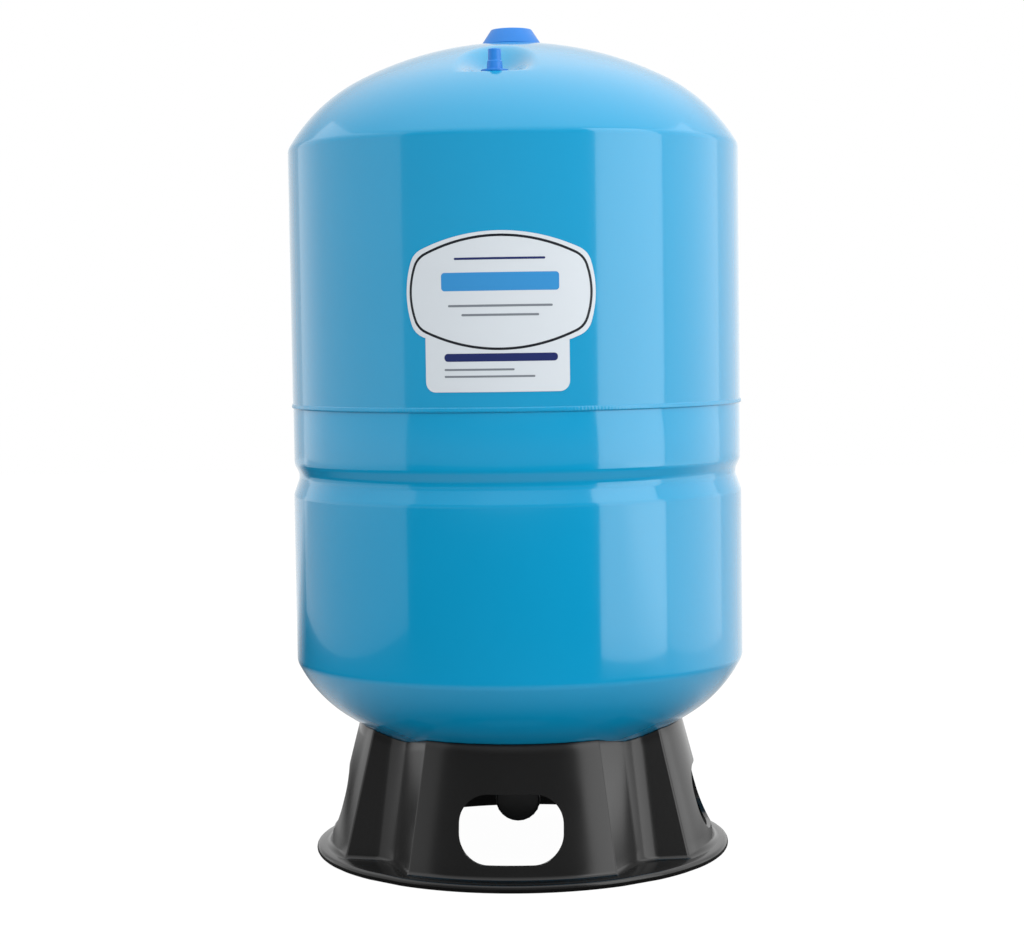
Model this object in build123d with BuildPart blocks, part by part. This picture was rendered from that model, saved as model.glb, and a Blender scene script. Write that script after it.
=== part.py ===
"""Vertical diaphragm pressure tank for a household well, in millimetres.

The origin is on the floor at the centre of the base and +Z is up. The front,
with the label, the water connection and the charging valve, faces -Y.
"""

import os
from math import asin, atan2, cos, degrees, radians, sin, sqrt, tan

from build123d import *

os.makedirs("parts", exist_ok=True)

# Clearances between pieces
gap = 0.3
socket_gap = 0.3
groove_gap = 0.7

# Drawn steel shells: radii are outside faces, and heights start at the floor
sheet = 1.5
tank_radius = 215.0
band_step = 0.4
lower_swell = 0.4
ground_clearance = 85.3
lower_depth = 346.7
upper_depth = 342.2
lap_length = 14.0

upper_radius = tank_radius
band_radius = tank_radius - band_step
lower_radius = tank_radius + lower_swell
lower_tip_z = ground_clearance
seam_z = lower_tip_z + lower_depth
upper_tip_z = seam_z + upper_depth

# Heads keep their proportions to the tank's radius
upper_crown_ratio = 1.515
upper_knuckle_ratio = 0.75
upper_shoulder = 12.0
upper_shoulder_slope = 59.0
lower_crown_ratio = 1.44
lower_knuckle_ratio = 0.579
lower_shoulder = 14.0
lower_shoulder_slope = 63.0

upper_crown = tank_radius * upper_crown_ratio
upper_knuckle = tank_radius * upper_knuckle_ratio
lower_crown = tank_radius * lower_crown_ratio
lower_knuckle = tank_radius * lower_knuckle_ratio

# Rolled groove that traps the diaphragm
groove_drop = 67.0
groove_z = seam_z - groove_drop
groove_depth = 4.5
groove_floor = 5.5
groove_upper_flank = 9.5
groove_lower_flank = 14.5
groove_blend = 12.0

# Diaphragm and the ring that clenches it in the groove
diaphragm_wall = 2.5
clench_wall = 2.0
clench_over = 17.0
clench_under = 22.0
diaphragm_lip_over = 24.0

# Water connection under the lower head
pipe_radius = 16.7
pipe_wall = 3.4
elbow_bend = 25.0
elbow_drop = 27.3
elbow_z = lower_tip_z - elbow_drop
elbow_reach = 62.0
coupling_wall = 3.2
coupling_flange_radius = 36.0
coupling_flange = 3.0
gasket_thickness = 2.0
port_flat_radius = 30.0
weld_leg = 3.5
thread_cap_radius = 21.7
thread_cap_length = 25.0
thread_cap_end = 4.0
thread_cap_ribs = 24
thread_cap_rib = 0.8

# Diffuser over the water port
diffuser_radius = 52.0
diffuser_wall = 2.0
diffuser_rise = 6.0
diffuser_holes = 8
diffuser_hole_radius = 4.0
diffuser_circle_radius = 30.0

# Top port, its plug and the moulded cap over them
boss_radius = 18.0
boss_bore = 13.2
boss_height = 17.5
boss_stand = 5.5
top_weld_leg = 3.0
plug_flange_radius = 16.0
plug_flange = 3.0
plug_hex_radius = 10.0
plug_hex_height = 3.2
plug_length = 12.0
seal_thickness = 1.2
top_cap_radius = 29.0
top_cap_top_radius = 19.3
top_cap_rise = 13.8
top_cap_top_z = upper_tip_z + top_cap_rise
top_cap_wall = 2.0
top_cap_edge = 1.2

# Charging valve near the front of the upper head
valve_x = -6.1
valve_reach_ratio = 0.688
valve_y = -tank_radius * valve_reach_ratio
valve_seat_radius = 16.0
valve_boss_radius = 11.0
valve_boss_height = 9.0
valve_thread_radius = 5.15
valve_thread_length = 13.0
valve_body_radius = 5.6
valve_body_height = 9.0
valve_stem_radius = 3.85
valve_stem_height = 9.0
valve_bore = 2.7
valve_core_radius = 2.4
valve_core_length = 14.0
valve_pin_radius = 0.7
valve_pin_length = 17.0
valve_cap_flange_radius = 12.4
valve_cap_flange = 2.2
valve_cap_foot_radius = 7.2
valve_cap_step_radius = 6.7
valve_cap_step_height = 9.5
valve_cap_tip_radius = 5.85
valve_cap_height = 20.8
valve_cap_wall = 1.2

# Moulded base
base_wall = 4.0
base_inset = 26.0
base_lobe_radius = tank_radius - base_inset
base_draft = 14.6
base_lobes = 4
base_lobe_half_angle = 30.5
base_corner = 4.0
flute_depth = 27.0
flute_draft = 6.5
flute_half_width = 16.0
flute_spread = 7.1
flute_blend = 28.0
flute_top_blend = 6.0
foot_flare = 11.0
foot_radius = base_lobe_radius + foot_flare
foot_height = 8.0
foot_edge = 3.5
window_width = 95.0
window_bottom_z = 21.2
window_height = 61.8
window_corner = 27.0
support_reach = 77.0
support_inner_radius = base_lobe_radius - support_reach
support_thickness = 4.0

# Studs that hold the base to the lower head
stud_inset = 16.0
stud_circle_radius = support_inner_radius + stud_inset
stud_radius = 3.0
stud_length = 19.0
stud_pad_radius = 11.0
stud_pad_drop = 4.0
stud_hole_radius = 3.6
washer_radius = 8.0
washer_thickness = 1.6
nut_across_flats = 10.0
nut_height = 5.0

# Front label
label_thickness = 0.3
label_rise = 15.8
label_height = 140.4
label_tab_height = 42.2
label_width = 170.0
label_neck_width = 142.0
label_tab_width = 129.0
label_tab_corner = 9.0
label_top_bow = 11.0
label_bottom_z = seam_z + label_rise
label_top_z = label_bottom_z + label_height
label_neck_z = label_bottom_z + label_tab_height


class Head:
    """Domed end of the tank: crown, knuckle and shoulder arcs, each tangent to the next.

    `side` is 1 for the upper head and -1 for the lower one. Angles are taken from
    the tank's axis, and `depth` is how far a face lies inside the head's outer face.
    """

    def __init__(self, side, tip_z, wall_radius, crown, knuckle, shoulder, shoulder_slope):
        self.side = side
        self.crown = crown
        self.knuckle = knuckle
        self.shoulder = shoulder
        self.shoulder_slope = shoulder_slope
        slope = radians(shoulder_slope)
        reach = wall_radius - shoulder - (knuckle - shoulder) * sin(slope)
        self.crown_slope = degrees(asin(reach / (crown - knuckle)))
        self.crown_z = tip_z - side * crown
        self.knuckle_z = self.crown_z + side * (crown - knuckle) * cos(radians(self.crown_slope))
        self.wall_z = self.knuckle_z + side * (knuckle - shoulder) * cos(slope)
        self.knuckle_r = reach
        self.shoulder_r = wall_radius - shoulder

    def slope_at(self, radius, depth=0.0):
        """Angle of the crown at a distance from the axis."""
        return degrees(asin(radius / (self.crown - depth)))

    def height(self, radius, depth=0.0):
        """Height of the crown at a distance from the axis."""
        return self.crown_z + self.side * sqrt((self.crown - depth) ** 2 - radius**2)

    def arc(self, centre_r, centre_z, radius, start, end):
        """Draw one arc between two angles from the axis."""
        if self.side > 0:
            CenterArc((centre_r, centre_z), radius, 90 - start, start - end)
        else:
            CenterArc((centre_r, centre_z), radius, start - 90, end - start)

    def draw(self, depth=0.0, first=0.0):
        """Draw the three arcs from an angle on the crown out to the straight wall."""
        self.arc(0, self.crown_z, self.crown - depth, first, self.crown_slope)
        self.arc(
            self.knuckle_r, self.knuckle_z, self.knuckle - depth, self.crown_slope, self.shoulder_slope
        )
        self.arc(self.shoulder_r, self.wall_z, self.shoulder - depth, self.shoulder_slope, 90)


upper_head = Head(
    1, upper_tip_z, upper_radius, upper_crown, upper_knuckle, upper_shoulder, upper_shoulder_slope
)
lower_head = Head(
    -1, lower_tip_z, lower_radius, lower_crown, lower_knuckle, lower_shoulder, lower_shoulder_slope
)

groove_half = groove_floor / 2
groove_start_z = groove_z - groove_half - groove_lower_flank
groove_end_z = groove_z + groove_half + groove_upper_flank


def draw_groove(depth, start_z, end_z, blend=0.0):
    """Draw the grooved wall `depth` inside the outer face, between two heights."""
    outer = lower_radius - depth
    floor = band_radius - groove_depth - depth
    points = [
        (outer, start_z),
        (outer, groove_start_z),
        (floor, groove_z - groove_half),
        (floor, groove_z + groove_half),
        (band_radius - depth, groove_end_z),
        (band_radius - depth, end_z),
    ]
    if blend > 0:
        FilletPolyline(*points, radius=blend)
    else:
        Polyline(*points)


# Upper shell, drawn in one piece down to the weld seam
boss_hole_radius = boss_radius + gap
seat_radius_out = sqrt(valve_x**2 + valve_y**2)


def knuckle_height(head, radius, depth=0.0):
    """Height of a head's knuckle at a distance from the axis."""
    return head.knuckle_z + head.side * sqrt((head.knuckle - depth) ** 2 - (radius - head.knuckle_r) ** 2)


# The seat meets the head at the front edge of the valve cap's flange
valve_seat_z = knuckle_height(upper_head, seat_radius_out + valve_cap_flange_radius)

with BuildPart() as upper_outside:
    with BuildSketch(Plane.XZ):
        with BuildLine():
            upper_head.draw()
            Line((upper_radius, upper_head.wall_z), (upper_radius, seam_z))
            Line((upper_radius, seam_z), (0, seam_z))
            Line((0, seam_z), (0, upper_tip_z))
        make_face()
    revolve(axis=Axis.Z)

with BuildPart() as upper_inside:
    with BuildSketch(Plane.XZ):
        with BuildLine():
            upper_head.draw(sheet)
            Line((upper_radius - sheet, upper_head.wall_z), (upper_radius - sheet, seam_z))
            Line((upper_radius - sheet, seam_z), (0, seam_z))
            Line((0, seam_z), (0, upper_tip_z - sheet))
        make_face()
    revolve(axis=Axis.Z)

# Pressed flat under the charging valve, sunk into the head behind it
seat_floor_z = valve_seat_z - sheet
seat_low_z = upper_head.wall_z
with BuildPart() as valve_seat:
    with BuildSketch(Plane.XY.offset(seat_low_z)):
        with Locations((valve_x, valve_y)):
            Circle(valve_seat_radius)
    extrude(amount=upper_tip_z - seat_low_z)
    add(upper_outside.part, mode=Mode.INTERSECT)
    with BuildSketch(Plane.XY.offset(seat_low_z)):
        with Locations((valve_x, valve_y)):
            Circle(valve_seat_radius)
    extrude(amount=valve_seat_z - seat_low_z)
    with BuildSketch(Plane.XY.offset(valve_seat_z)):
        with Locations((valve_x, valve_y)):
            Circle(valve_seat_radius - sheet)
    extrude(amount=upper_tip_z - valve_seat_z, mode=Mode.SUBTRACT)
    with BuildSketch(Plane.XY.offset(seat_low_z)):
        with Locations((valve_x, valve_y)):
            Circle(valve_seat_radius - sheet)
    extrude(amount=seat_floor_z - seat_low_z, mode=Mode.SUBTRACT)

with BuildPart() as seat_underside:
    with BuildSketch(Plane.XY.offset(seat_low_z)):
        with Locations((valve_x, valve_y)):
            Circle(valve_seat_radius)
    extrude(amount=seat_floor_z - seat_low_z)
    add(upper_inside.part, mode=Mode.INTERSECT)

with BuildPart() as upper_shell:
    add(upper_outside.part)
    add(upper_inside.part, mode=Mode.SUBTRACT)
    with BuildSketch(Plane.XY.offset(seam_z)):
        Circle(boss_hole_radius)
    extrude(amount=upper_tip_z - seam_z, mode=Mode.SUBTRACT)
    with BuildSketch(Plane.XY.offset(seat_low_z)):
        with Locations((valve_x, valve_y)):
            Circle(valve_seat_radius)
    extrude(amount=upper_tip_z - seat_low_z, mode=Mode.SUBTRACT)
    add(valve_seat.part)
    add(seat_underside.part, mode=Mode.SUBTRACT)
    with BuildSketch(Plane.XY.offset(seat_low_z)):
        with Locations((valve_x, valve_y)):
            Circle(valve_thread_radius + gap)
    extrude(amount=upper_tip_z - seat_low_z, mode=Mode.SUBTRACT)
upper_shell.part.label = "upper_shell"
export_step(upper_shell.part, "parts/upper_shell.step")

# Lower shell: head, grooved wall and a joggled lip inside the upper shell
lip_radius = upper_radius - sheet - gap
lip_top_z = seam_z + lap_length
joggle_drop = 3.0
port_hole_radius = pipe_radius + socket_gap + coupling_wall + gap
port_flat_slope = lower_head.slope_at(port_flat_radius)


def flat_z(depth):
    """Height of the pressed flat around the water port, `depth` inside the outer face."""
    return lower_head.crown_z - (lower_crown - depth) * cos(radians(port_flat_slope))


def flat_edge(depth):
    """Radius where the pressed flat meets the crown, `depth` inside the outer face."""
    return (lower_crown - depth) * sin(radians(port_flat_slope))


with BuildPart() as lower_shell:
    with BuildSketch(Plane.XZ):
        with BuildLine():
            Line((port_hole_radius, flat_z(0)), (flat_edge(0), flat_z(0)))
            lower_head.draw(0, port_flat_slope)
            draw_groove(0, lower_head.wall_z, seam_z - joggle_drop, groove_blend)
            Polyline(
                (band_radius, seam_z - joggle_drop),
                (lip_radius, seam_z),
                (lip_radius, lip_top_z),
                (lip_radius - sheet, lip_top_z),
                (lip_radius - sheet, seam_z),
                (band_radius - sheet, seam_z - joggle_drop),
            )
            draw_groove(sheet, lower_head.wall_z, seam_z - joggle_drop, groove_blend)
            lower_head.draw(sheet, port_flat_slope)
            Line((flat_edge(sheet), flat_z(sheet)), (port_hole_radius, flat_z(sheet)))
            Line((port_hole_radius, flat_z(sheet)), (port_hole_radius, flat_z(0)))
        make_face()
    revolve(axis=Axis.Z)
lower_shell.part.label = "lower_shell"
export_step(lower_shell.part, "parts/lower_shell.step")

# Weld bead that fills the pocket under the upper shell's edge
bead_drop = 2.4
bead_stand = 0.5
with BuildPart() as seam_weld:
    with BuildSketch(Plane.XZ):
        with BuildLine():
            top = Line((lip_radius + gap, seam_z), (upper_radius + bead_stand, seam_z))
            Line(top @ 1, (upper_radius + bead_stand, seam_z - bead_drop / 2))
            Line((upper_radius + bead_stand, seam_z - bead_drop / 2), (band_radius + gap, seam_z - bead_drop))
            Line((band_radius + gap, seam_z - bead_drop), top @ 0)
        make_face()
    revolve(axis=Axis.Z)
seam_weld.part.label = "seam_weld"
export_step(seam_weld.part, "parts/seam_weld.step")

# Flanged coupling that seals the port from inside
coupling_bore = pipe_radius + socket_gap
coupling_radius = coupling_bore + coupling_wall
gasket_z = flat_z(sheet)
flange_z = gasket_z + gasket_thickness
coupling_low_z = flat_z(0) - weld_leg
with BuildPart() as port_coupling:
    with BuildSketch(Plane.XZ):
        with BuildLine():
            Polyline(
                (coupling_bore, coupling_low_z),
                (coupling_radius, coupling_low_z),
                (coupling_radius, flange_z),
                (coupling_flange_radius, flange_z),
                (coupling_flange_radius, flange_z + coupling_flange),
                (coupling_bore, flange_z + coupling_flange),
                close=True,
            )
        make_face()
    revolve(axis=Axis.Z)
port_coupling.part.label = "port_coupling"
export_step(port_coupling.part, "parts/port_coupling.step")

with BuildPart() as port_gasket:
    with BuildSketch(Plane.XY.offset(gasket_z)):
        Circle(min(coupling_flange_radius, flat_edge(sheet)) - 1)
        Circle(coupling_radius + gap, mode=Mode.SUBTRACT)
    extrude(amount=gasket_thickness)
port_gasket.part.label = "port_gasket"
export_step(port_gasket.part, "parts/port_gasket.step")

with BuildPart() as coupling_weld:
    with BuildSketch(Plane.XZ):
        with BuildLine():
            Polyline(
                (coupling_radius + gap, flat_z(0)),
                (coupling_radius + gap + weld_leg, flat_z(0)),
                (coupling_radius + gap, flat_z(0) - weld_leg),
                close=True,
            )
        make_face()
    revolve(axis=Axis.Z)
coupling_weld.part.label = "coupling_weld"
export_step(coupling_weld.part, "parts/coupling_weld.step")

# Bent pipe from the coupling to the front
bend_top_z = elbow_z + elbow_bend
with BuildPart() as water_elbow:
    with BuildSketch(Plane.XY.offset(bend_top_z)) as pipe_end:
        Circle(pipe_radius)
        Circle(pipe_radius - pipe_wall, mode=Mode.SUBTRACT)
    extrude(amount=flange_z + coupling_flange - bend_top_z)
    add(pipe_end.sketch)
    revolve(axis=Axis((0, -elbow_bend, bend_top_z), (-1, 0, 0)), revolution_arc=90)
    with BuildSketch(Plane(origin=(0, -elbow_bend, elbow_z), x_dir=(1, 0, 0), z_dir=(0, -1, 0))):
        Circle(pipe_radius)
        Circle(pipe_radius - pipe_wall, mode=Mode.SUBTRACT)
    extrude(amount=elbow_reach - elbow_bend)
water_elbow.part.label = "water_elbow"
export_step(water_elbow.part, "parts/water_elbow.step")

with BuildPart() as elbow_weld:
    with BuildSketch(Plane.XZ):
        with BuildLine():
            Polyline(
                (coupling_bore + gap, coupling_low_z),
                (coupling_radius, coupling_low_z),
                (coupling_bore + gap, coupling_low_z - coupling_wall),
                close=True,
            )
        make_face()
    revolve(axis=Axis.Z)
elbow_weld.part.label = "elbow_weld"
export_step(elbow_weld.part, "parts/elbow_weld.step")

# Ribbed cap that protects the pipe's outside thread
cap_plane = Plane(origin=(0, -elbow_reach - gap - thread_cap_end, elbow_z), x_dir=(1, 0, 0), z_dir=(0, 1, 0))
with BuildPart() as thread_cap:
    with BuildSketch(cap_plane):
        Circle(thread_cap_radius - thread_cap_rib)
    extrude(amount=thread_cap_length)
    with BuildSketch(cap_plane.offset(thread_cap_end / 2)):
        with PolarLocations(thread_cap_radius - thread_cap_rib, thread_cap_ribs):
            Rectangle(2 * thread_cap_rib, 2 * thread_cap_rib)
    extrude(amount=thread_cap_length - thread_cap_end / 2)
    with BuildSketch(cap_plane.offset(thread_cap_end)):
        Circle(pipe_radius + gap)
    extrude(amount=thread_cap_length, mode=Mode.SUBTRACT)
    chamfer(thread_cap.faces().sort_by(Axis.Y)[0].edges(), 1.2)
thread_cap.part.label = "thread_cap"
export_step(thread_cap.part, "parts/thread_cap.step")

# Perforated diffuser standing on the coupling's flange
diffuser_z = flange_z + coupling_flange
with BuildPart() as diffuser:
    with BuildSketch(Plane.XY.offset(diffuser_z)):
        Circle(diffuser_radius)
        Circle(pipe_radius, mode=Mode.SUBTRACT)
        with PolarLocations(diffuser_circle_radius, diffuser_holes):
            Circle(diffuser_hole_radius, mode=Mode.SUBTRACT)
    extrude(amount=diffuser_wall)
diffuser.part.label = "diffuser"
export_step(diffuser.part, "parts/diffuser.step")

# Diaphragm, charged from above and lying on the lower shell and the diffuser
diaphragm_out = sheet + groove_gap
diaphragm_in = diaphragm_out + diaphragm_wall
diaphragm_floor_z = diffuser_z + diffuser_wall + diffuser_rise


def crown_slope_for(height, depth):
    """Angle from the axis at which the lower crown reaches a height."""
    return degrees(asin(sqrt(1 - ((lower_head.crown_z - height) / (lower_crown - depth)) ** 2)))


with BuildPart() as diaphragm:
    floor_slope = crown_slope_for(diaphragm_floor_z, diaphragm_out)
    roof_slope = crown_slope_for(diaphragm_floor_z + diaphragm_wall, diaphragm_in)
    floor_edge = (lower_crown - diaphragm_out) * sin(radians(floor_slope))
    roof_edge = (lower_crown - diaphragm_in) * sin(radians(roof_slope))
    lip_z = groove_z + diaphragm_lip_over
    with BuildSketch(Plane.XZ):
        with BuildLine():
            Line((0, diaphragm_floor_z), (floor_edge, diaphragm_floor_z))
            lower_head.draw(diaphragm_out, floor_slope)
            draw_groove(diaphragm_out, lower_head.wall_z, lip_z)
            Line((band_radius - diaphragm_out, lip_z), (band_radius - diaphragm_in, lip_z))
            draw_groove(diaphragm_in, lower_head.wall_z, lip_z)
            lower_head.draw(diaphragm_in, roof_slope)
            Line((roof_edge, diaphragm_floor_z + diaphragm_wall), (0, diaphragm_floor_z + diaphragm_wall))
            Line((0, diaphragm_floor_z + diaphragm_wall), (0, diaphragm_floor_z))
        make_face()
    revolve(axis=Axis.Z)
diaphragm.part.label = "diaphragm"
export_step(diaphragm.part, "parts/diaphragm.step")

# Steel ring that clenches the diaphragm into the groove
clench_out = diaphragm_in + gap
clench_in = clench_out + clench_wall
clench_top_z = groove_z + clench_over
clench_low_z = groove_z - clench_under
with BuildPart() as clench_ring:
    with BuildSketch(Plane.XZ):
        with BuildLine():
            draw_groove(clench_out, clench_low_z, clench_top_z)
            Line((band_radius - clench_out, clench_top_z), (band_radius - clench_in, clench_top_z))
            draw_groove(clench_in, clench_low_z, clench_top_z)
            Line((lower_radius - clench_in, clench_low_z), (lower_radius - clench_out, clench_low_z))
        make_face()
    revolve(axis=Axis.Z)
clench_ring.part.label = "clench_ring"
export_step(clench_ring.part, "parts/clench_ring.step")

# Threaded boss in the top of the tank
boss_top_z = upper_tip_z + boss_stand
with BuildPart() as top_boss:
    with BuildSketch(Plane.XY.offset(boss_top_z)):
        Circle(boss_radius)
        Circle(boss_bore, mode=Mode.SUBTRACT)
    extrude(amount=-boss_height)
top_boss.part.label = "top_boss"
export_step(top_boss.part, "parts/top_boss.step")

with BuildPart() as top_weld:
    with BuildSketch(Plane.XZ):
        with BuildLine():
            Polyline(
                (boss_radius + gap, upper_tip_z + gap),
                (boss_radius + gap + top_weld_leg, upper_tip_z + gap),
                (boss_radius + gap, upper_tip_z + gap + top_weld_leg),
                close=True,
            )
        make_face()
    revolve(axis=Axis.Z)
top_weld.part.label = "top_weld"
export_step(top_weld.part, "parts/top_weld.step")

# Plug of the top port with its flat seal
plug_seat_z = boss_top_z + seal_thickness
with BuildPart() as top_plug:
    with BuildSketch(Plane.XY.offset(plug_seat_z)):
        Circle(plug_flange_radius)
    extrude(amount=plug_flange)
    with BuildSketch(Plane.XY.offset(plug_seat_z)):
        Circle(boss_bore - gap)
    extrude(amount=-plug_length)
    with BuildSketch(Plane.XY.offset(plug_seat_z + plug_flange)):
        RegularPolygon(plug_hex_radius, 6)
    extrude(amount=-plug_hex_height, mode=Mode.SUBTRACT)
top_plug.part.label = "top_plug"
export_step(top_plug.part, "parts/top_plug.step")

with BuildPart() as plug_seal:
    with BuildSketch(Plane.XY.offset(boss_top_z)):
        Circle(plug_flange_radius - 0.5)
        Circle(boss_bore, mode=Mode.SUBTRACT)
    extrude(amount=seal_thickness)
plug_seal.part.label = "plug_seal"
export_step(plug_seal.part, "parts/plug_seal.step")

# Moulded cap over the top port: a hollow cone with an inner skirt on the boss
cap_foot_z = upper_head.height(top_cap_radius) + gap
cap_skirt_z = upper_tip_z + gap + top_weld_leg + gap
with BuildPart() as top_cap:
    with BuildSketch(Plane.XZ):
        with BuildLine():
            Polyline(
                (0, top_cap_top_z),
                (top_cap_top_radius, top_cap_top_z),
                (top_cap_radius, cap_foot_z),
                (top_cap_radius - top_cap_wall, cap_foot_z),
                (top_cap_top_radius - top_cap_wall, top_cap_top_z - top_cap_wall),
                (0, top_cap_top_z - top_cap_wall),
                close=True,
            )
        make_face()
    revolve(axis=Axis.Z)
    chamfer(top_cap.edges().filter_by(GeomType.CIRCLE).group_by(Axis.Z)[-1], top_cap_edge)
    with BuildSketch(Plane.XY.offset(cap_skirt_z)):
        Circle(boss_radius + gap + top_cap_wall)
        Circle(boss_radius + gap, mode=Mode.SUBTRACT)
    extrude(until=Until.NEXT)
top_cap.part.label = "top_cap"
export_step(top_cap.part, "parts/top_cap.step")

# Charging valve: boss under the pressed flat, brass body, core and pin
with BuildPart() as valve_boss:
    with BuildSketch(Plane.XY.offset(seat_floor_z)):
        with Locations((valve_x, valve_y)):
            Circle(valve_boss_radius)
            Circle(valve_thread_radius + gap, mode=Mode.SUBTRACT)
    extrude(amount=-valve_boss_height)
valve_boss.part.label = "valve_boss"
export_step(valve_boss.part, "parts/valve_boss.step")

valve_top_z = valve_seat_z + valve_body_height + valve_stem_height
with BuildPart() as air_valve:
    with BuildSketch(Plane.XY.offset(valve_seat_z)):
        with Locations((valve_x, valve_y)):
            Circle(valve_body_radius)
    extrude(amount=valve_body_height)
    with BuildSketch(Plane.XY.offset(valve_seat_z)):
        with Locations((valve_x, valve_y)):
            Circle(valve_thread_radius)
    extrude(amount=-valve_thread_length)
    with BuildSketch(Plane.XY.offset(valve_seat_z + valve_body_height)):
        with Locations((valve_x, valve_y)):
            Circle(valve_stem_radius)
    extrude(amount=valve_stem_height)
    with BuildSketch(Plane.XY.offset(valve_top_z)):
        with Locations((valve_x, valve_y)):
            Circle(valve_bore)
    extrude(amount=-(valve_thread_length + valve_body_height + valve_stem_height), mode=Mode.SUBTRACT)
air_valve.part.label = "air_valve"
export_step(air_valve.part, "parts/air_valve.step")

valve_core_top_z = valve_top_z - 1
with BuildPart() as valve_core:
    with BuildSketch(Plane.XY.offset(valve_core_top_z)):
        with Locations((valve_x, valve_y)):
            Circle(valve_core_radius)
            Circle(valve_pin_radius + gap, mode=Mode.SUBTRACT)
    extrude(amount=-valve_core_length)
valve_core.part.label = "valve_core"
export_step(valve_core.part, "parts/valve_core.step")

with BuildPart() as core_pin:
    with BuildSketch(Plane.XY.offset(valve_core_top_z)):
        with Locations((valve_x, valve_y)):
            Circle(valve_pin_radius)
    extrude(amount=-valve_pin_length)
core_pin.part.label = "core_pin"
export_step(core_pin.part, "parts/core_pin.step")

# Moulded cap over the valve, stepped where it grips the body
with BuildPart() as air_valve_cap:
    with BuildSketch(Plane.XZ):
        with BuildLine():
            Polyline(
                (valve_body_radius + gap, 0),
                (valve_cap_flange_radius, 0),
                (valve_cap_flange_radius, valve_cap_flange),
                (valve_cap_foot_radius, valve_cap_flange),
                (valve_cap_step_radius, valve_cap_step_height),
                (valve_cap_tip_radius, valve_cap_step_height + 1),
                (valve_cap_tip_radius, valve_cap_height - 1),
                (valve_cap_tip_radius - 1, valve_cap_height),
                (0, valve_cap_height),
                (0, valve_cap_height - valve_cap_wall),
                (valve_stem_radius + gap, valve_cap_height - valve_cap_wall),
                (valve_stem_radius + gap, valve_body_height + gap),
                (valve_body_radius + gap, valve_body_height + gap),
                close=True,
            )
        make_face()
    revolve(axis=Axis.Z)
air_valve_cap_part = air_valve_cap.part.moved(Location((valve_x, valve_y, valve_seat_z)))
air_valve_cap_part.label = "air_valve_cap"
export_step(air_valve_cap_part, "parts/air_valve_cap.step")

# Moulded base: four lobes and four recessed flutes on a flared foot
base_top_z = lower_head.height(base_lobe_radius * 0.85)
lobe_step = 360 / base_lobes


def wall_radius_at(height):
    """Outside radius of the lobes at a height."""
    return base_lobe_radius - height * tan(radians(base_draft))


def draw_base_section(height, inset):
    """Closed outline of lobes and flutes at one height, `inset` inside the outer face.

    Each flute is a flat floor between two slanted walls that rise to the lobes' corners.
    """
    lobe = wall_radius_at(height)
    floor = base_lobe_radius - flute_depth - height * tan(radians(flute_draft))
    reach = flute_half_width + height * tan(radians(flute_spread))
    turn = lobe_step / 2 - base_lobe_half_angle
    slant = degrees(atan2(lobe * cos(radians(turn)) - floor, lobe * sin(radians(turn)) - reach))
    half = base_lobe_half_angle - degrees(inset * tan(radians((slant + turn) / 2)) / lobe)
    reach += inset * tan(radians(slant / 2))
    lobe -= inset
    floor -= inset
    for number in range(base_lobes):
        centre = -90 + number * lobe_step
        lobe_arc = CenterArc((0, 0), lobe, centre - half, 2 * half)
        out = Vector(1, 0).rotate(Axis.Z, centre + lobe_step / 2)
        along = Vector(0, 1).rotate(Axis.Z, centre + lobe_step / 2)
        next_lobe = Vector(lobe, 0).rotate(Axis.Z, centre + lobe_step - half)
        Polyline(lobe_arc @ 1, out * floor - along * reach, out * floor + along * reach, next_lobe)


with BuildPart() as base_outside:
    for height, blend in ((0, flute_blend), (base_top_z, flute_top_blend)):
        with BuildSketch(Plane.XY.offset(height)) as section:
            with BuildLine():
                draw_base_section(height, 0)
            make_face()
            fillet(section.vertices().sort_by_distance((0, 0, 0))[: 2 * base_lobes], blend)
            fillet(section.vertices().sort_by_distance((0, 0, 0))[-2 * base_lobes :], base_corner)
    loft(ruled=True)

with BuildPart() as base_inside:
    for height in (0, base_top_z):
        with BuildSketch(Plane.XY.offset(height)):
            with BuildLine():
                draw_base_section(height, base_wall)
            make_face()
    loft(ruled=True)

# Dished shelf under the lower head, kept inside the base's outer face
with BuildPart() as support_shelf:
    with BuildSketch(Plane.XZ):
        with BuildLine():
            shelf_start = lower_head.slope_at(support_inner_radius)
            shelf_end = lower_head.crown_slope
            seat = CenterArc(
                (0, lower_head.crown_z), lower_crown + gap, shelf_start - 90, shelf_end - shelf_start
            )
            drop = Vector(0, -support_thickness)
            Polyline(seat @ 0, seat @ 0 + drop, seat @ 1 + drop, seat @ 1)
        make_face()
    revolve(axis=Axis.Z)

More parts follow.
